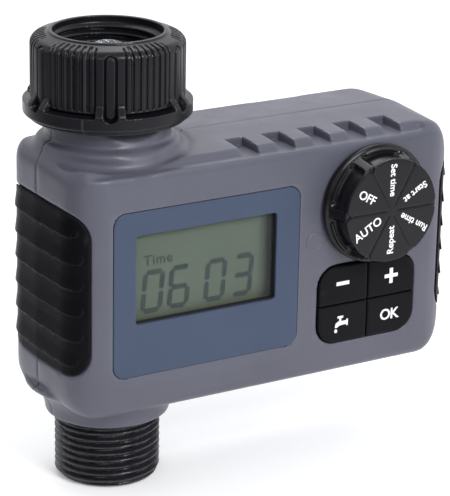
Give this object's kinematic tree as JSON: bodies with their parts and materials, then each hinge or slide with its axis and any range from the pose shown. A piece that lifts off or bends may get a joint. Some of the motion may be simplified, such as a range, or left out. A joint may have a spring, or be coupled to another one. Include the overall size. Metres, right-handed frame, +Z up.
{
  "type": "drip irrigation timer",
  "caption": "Electronic garden tap timer with a swivel inlet nut, threaded outlet, display, selector dial, keypad and battery bay.",
  "frame": {"origin": "centre of the inlet nut's mouth, where the tap's threaded end enters", "axes": "+Z up along the water way towards the tap, -Y out of the front face, +X along the case away from the water way"},
  "size_m": [0.113, 0.0504, 0.1138],
  "materials": {
    "casing": "satin moulded plastic",
    "black_plastic": "satin moulded plastic",
    "grip_rubber": "soft matt overmoulding",
    "panel": "printed satin foil",
    "lens": "clear window",
    "display": "reflective liquid crystal",
    "board": "solder mask",
    "silicone": "matt silicone",
    "inner_plastic": "satin",
    "seal": "matt",
    "gear_plastic": "natural acetal",
    "steel": "bright",
    "brass": "machined",
    "cell": "printed sleeve",
    "lead_red": "insulated wire"
  },
  "bodies": {
    "case": {"front_shell": "casing", "rear_shell": "casing", "left_grip": "grip_rubber", "right_grip": "grip_rubber", "lcd_bezel": "panel", "lcd_lens": "lens", "lcd_module": "display", "inlet_spigot": "black_plastic", "valve_body": "black_plastic", "rotary_switch": "inner_plastic", "controller_chip": "inner_plastic", "reserve_capacitor": "inner_plastic", "motor_cradle": "inner_plastic", "keypad_mat": "silicone", "main_board": "board", "inlet_washer": "seal", "neck_seal": "seal", "stem_seal": "seal", "motor_lead_2": "seal", "motor_lead_1": "lead_red", "upper_ball_seat": "gear_plastic", "lower_ball_seat": "gear_plastic", "battery_1": "cell", "battery_2": "cell", "inlet_strainer": "steel", "gear_motor": "steel", "timing_crystal": "steel", "case_screw_1": "steel", "case_screw_2": "steel", "case_screw_3": "steel", "case_screw_4": "steel", "battery_contact_positive": "steel", "battery_contact_negative": "steel", "battery_link_plate": "steel", "battery_spring_1": "steel", "battery_spring_2": "steel"},
    "nut": {"inlet_nut": "black_plastic"},
    "dial": {"dial_knob": "black_plastic", "dial_spindle": "inner_plastic"},
    "minus_key": {"button_minus": "black_plastic"},
    "plus_key": {"button_plus": "black_plastic"},
    "tap_key": {"button_tap": "black_plastic"},
    "ok_key": {"button_ok": "black_plastic"},
    "ball": {"valve_ball": "gear_plastic", "valve_stem": "steel", "drive_wheel": "gear_plastic"},
    "pinion": {"motor_pinion": "brass", "motor_shaft": "steel"},
    "door": {"battery_door": "casing"}
  },
  "joints": [
    {"name": "nut_swivel", "type": "hinge", "parent": "case", "child": "nut", "pos_m": [0, 0, -0.015], "axis": [0, 0, 1], "continuous": true},
    {"name": "dial_turn", "type": "hinge", "parent": "case", "child": "dial", "pos_m": [0.0636, -0.0213, -0.0466], "axis": [0, -1, 0], "continuous": true},
    {"name": "minus_press", "type": "slide", "parent": "case", "child": "minus_key", "axis": [0, 1, 0], "range_m": [0, 0.0008], "stiffness_N_per_m": 900},
    {"name": "plus_press", "type": "slide", "parent": "case", "child": "plus_key", "axis": [0, 1, 0], "range_m": [0, 0.0008], "stiffness_N_per_m": 900},
    {"name": "tap_press", "type": "slide", "parent": "case", "child": "tap_key", "axis": [0, 1, 0], "range_m": [0, 0.0008], "stiffness_N_per_m": 900},
    {"name": "ok_press", "type": "slide", "parent": "case", "child": "ok_key", "axis": [0, 1, 0], "range_m": [0, 0.0008], "stiffness_N_per_m": 900},
    {"name": "ball_turn", "type": "hinge", "parent": "case", "child": "ball", "pos_m": [0, 0, -0.062], "axis": [1, 0, 0], "range_deg": [0, 90]},
    {"name": "pinion_spin", "type": "hinge", "parent": "case", "child": "pinion", "pos_m": [0.018, 0.0035, -0.07736], "axis": [1, 0, 0], "continuous": true},
    {"name": "door_hinge", "type": "hinge", "parent": "case", "child": "door", "pos_m": [0.057, 0.0176, -0.0884], "axis": [-1, 0, 0], "range_deg": [0, 75]}
  ],
  "couplings": [
    {"joint": "pinion_spin", "follows": "ball_turn", "ratio": -2.5}
  ]
}
